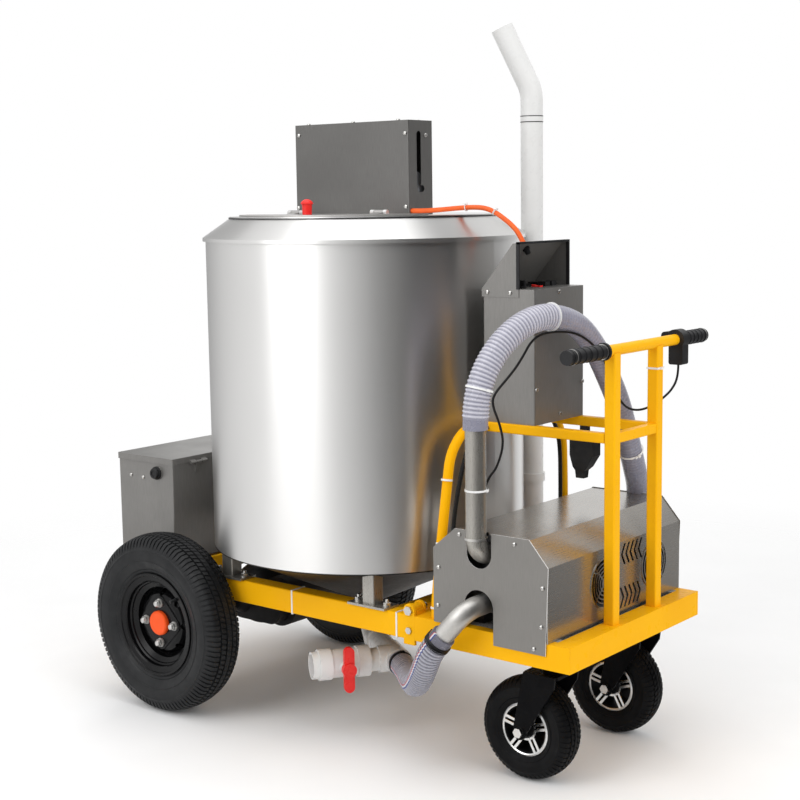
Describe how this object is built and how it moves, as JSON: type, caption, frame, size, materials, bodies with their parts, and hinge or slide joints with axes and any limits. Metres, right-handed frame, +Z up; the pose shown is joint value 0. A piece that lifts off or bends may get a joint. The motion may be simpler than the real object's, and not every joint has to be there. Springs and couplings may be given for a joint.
{
  "type": "feed cart",
  "caption": "Self-propelled liquid feed cart: stirred stainless tank with hatch on a two-wheel drive chassis, pump platform on swivel casters, ribbed hoses, standpipe and steering handle.",
  "frame": {"origin": "bottom centre of the cart on the floor, measured without the hoses and the lead", "axes": "+X towards the steering handle, +Y to the operator's right, +Z up"},
  "size_m": [1.614, 0.9172, 1.9205],
  "materials": {
    "yellow_paint": "gloss enamel",
    "polished_stainless": "polished",
    "brushed_stainless": "brushed sheet",
    "zinc_steel": "zinc plated",
    "axle_iron": "black paint",
    "motor_grey": "painted casting",
    "pump_iron": "machined casting",
    "black_steel": "satin black",
    "cast_alloy": "machined faces",
    "tyre_rubber": "matte",
    "grip_rubber": "ribbed",
    "black_plastic": "moulded",
    "red_plastic": "moulded",
    "white_pvc": "extruded",
    "clear_pvc": "ribbed translucent",
    "orange_sheath": "cable sheath"
  },
  "bodies": {
    "chassis": {"left_rail": "yellow_paint", "right_rail": "yellow_paint", "cross_members": "yellow_paint", "platform_frame": "yellow_paint", "handle_posts": "yellow_paint", "handlebar": "yellow_paint", "shelf_frame": "yellow_paint", "stay_tubes": "yellow_paint", "tank_shell": "polished_stainless", "tank_top": "polished_stainless", "tank_cone": "polished_stainless", "tank_legs": "brushed_stainless", "motor_cover": "brushed_stainless", "battery_box": "brushed_stainless", "control_box": "brushed_stainless", "control_hood": "brushed_stainless", "pump_cover": "brushed_stainless", "cover_end_plates": "brushed_stainless", "riser_pipe": "brushed_stainless", "inlet_elbow": "brushed_stainless", "coupling_pins": "zinc_steel", "fan_guards": "zinc_steel", "drive_axle": "axle_iron", "agitator_gearmotor": "motor_grey", "pump_motor": "motor_grey", "pump_body": "pump_iron", "left_grip": "grip_rubber", "throttle_housing": "black_plastic", "batteries": "black_plastic", "outlet_pipe": "white_pvc", "valve_body": "white_pvc", "standpipe": "white_pvc", "delivery_hose": "clear_pvc", "suction_hose": "clear_pvc", "wiring": "orange_sheath"},
    "agitator": {"agitator": "brushed_stainless"},
    "hatch": {"hatch_lid": "brushed_stainless", "hatch_knob": "red_plastic"},
    "battery_lid": {"battery_lid": "brushed_stainless"},
    "throttle_grip": {"throttle_grip": "grip_rubber"},
    "mode_knob": {"mode_knob": "black_plastic"},
    "rocker_switch": {"rocker_switch": "red_plastic"},
    "left_fan": {"left_fan": "black_plastic"},
    "right_fan": {"right_fan": "black_plastic"},
    "drive_rotor": {"drive_rotor": "pump_iron"},
    "idler_rotor": {"idler_rotor": "pump_iron"},
    "valve_lever": {"valve_lever": "red_plastic"},
    "spout": {"spout": "white_pvc"},
    "left_wheel": {"left_tyre": "tyre_rubber", "left_rim": "black_steel", "left_hub": "zinc_steel"},
    "right_wheel": {"right_tyre": "tyre_rubber", "right_rim": "black_steel", "right_hub": "zinc_steel"},
    "left_caster": {"left_caster_fork": "black_steel"},
    "left_caster_wheel": {"left_caster_tyre": "tyre_rubber", "left_caster_rim": "cast_alloy"},
    "right_caster": {"right_caster_fork": "black_steel"},
    "right_caster_wheel": {"right_caster_tyre": "tyre_rubber", "right_caster_rim": "cast_alloy"}
  },
  "joints": [
    {"name": "agitator_spin", "type": "hinge", "parent": "chassis", "child": "agitator", "pos_m": [-0.067, 0, 0.9], "axis": [0, 0, 1], "continuous": true},
    {"name": "hatch_hinge", "type": "hinge", "parent": "chassis", "child": "hatch", "pos_m": [-0.067, -0.115, 1.404], "axis": [-1, 0, 0], "range_deg": [0, 100]},
    {"name": "battery_lid_hinge", "type": "hinge", "parent": "chassis", "child": "battery_lid", "pos_m": [-0.557, 0, 0.68], "axis": [0, 1, 0], "range_deg": [0, 95]},
    {"name": "throttle_twist", "type": "hinge", "parent": "chassis", "child": "throttle_grip", "pos_m": [0.779, 0.316, 1.07], "axis": [0, 1, 0], "range_deg": [0, 70], "stiffness_Nm_per_rad": 0.4},
    {"name": "mode_knob_turn", "type": "hinge", "parent": "chassis", "child": "mode_knob", "pos_m": [0.49, -0.045, 1.215], "axis": [0, 0, 1], "range_deg": [-60, 60]},
    {"name": "rocker_tilt", "type": "hinge", "parent": "chassis", "child": "rocker_switch", "pos_m": [0.49, 0.025, 1.2065], "axis": [0, -1, 0], "range_deg": [0, 14]},
    {"name": "left_fan_spin", "type": "hinge", "parent": "chassis", "child": "left_fan", "pos_m": [0.734, -0.066, 0.487], "axis": [1, 0, 0], "continuous": true},
    {"name": "right_fan_spin", "type": "hinge", "parent": "chassis", "child": "right_fan", "pos_m": [0.734, 0.182, 0.487], "axis": [1, 0, 0], "continuous": true},
    {"name": "drive_rotor_spin", "type": "hinge", "parent": "chassis", "child": "drive_rotor", "pos_m": [0.515, -0.19, 0.516], "axis": [0, 1, 0], "continuous": true},
    {"name": "idler_rotor_spin", "type": "hinge", "parent": "chassis", "child": "idler_rotor", "pos_m": [0.585, -0.19, 0.516], "axis": [0, 1, 0], "continuous": true},
    {"name": "valve_turn", "type": "hinge", "parent": "chassis", "child": "valve_lever", "pos_m": [0.05246, -0.26134, 0.2], "axis": [0.8202, -0.5721, 0], "range_deg": [0, 90]},
    {"name": "spout_swivel", "type": "hinge", "parent": "chassis", "child": "spout", "pos_m": [0.238, 0.378, 1.66], "axis": [0, 0, 1], "continuous": true},
    {"name": "left_wheel_spin", "type": "hinge", "parent": "chassis", "child": "left_wheel", "pos_m": [-0.494, -0.3975, 0.255], "axis": [0, 1, 0], "continuous": true},
    {"name": "right_wheel_spin", "type": "hinge", "parent": "chassis", "child": "right_wheel", "pos_m": [-0.494, 0.3975, 0.255], "axis": [0, 1, 0], "continuous": true},
    {"name": "left_caster_swivel", "type": "hinge", "parent": "chassis", "child": "left_caster", "pos_m": [0.695, -0.205, 0.3], "axis": [0, 0, 1], "continuous": true},
    {"name": "left_caster_spin", "type": "hinge", "parent": "left_caster", "child": "left_caster_wheel", "pos_m": [0.625, -0.205, 0.131], "axis": [0, 1, 0], "continuous": true},
    {"name": "right_caster_swivel", "type": "hinge", "parent": "chassis", "child": "right_caster", "pos_m": [0.695, 0.205, 0.3], "axis": [0, 0, 1], "continuous": true},
    {"name": "right_caster_spin", "type": "hinge", "parent": "right_caster", "child": "right_caster_wheel", "pos_m": [0.625, 0.205, 0.131], "axis": [0, 1, 0], "continuous": true}
  ],
  "couplings": [
    {"joint": "idler_rotor_spin", "follows": "drive_rotor_spin", "ratio": -1}
  ]
}
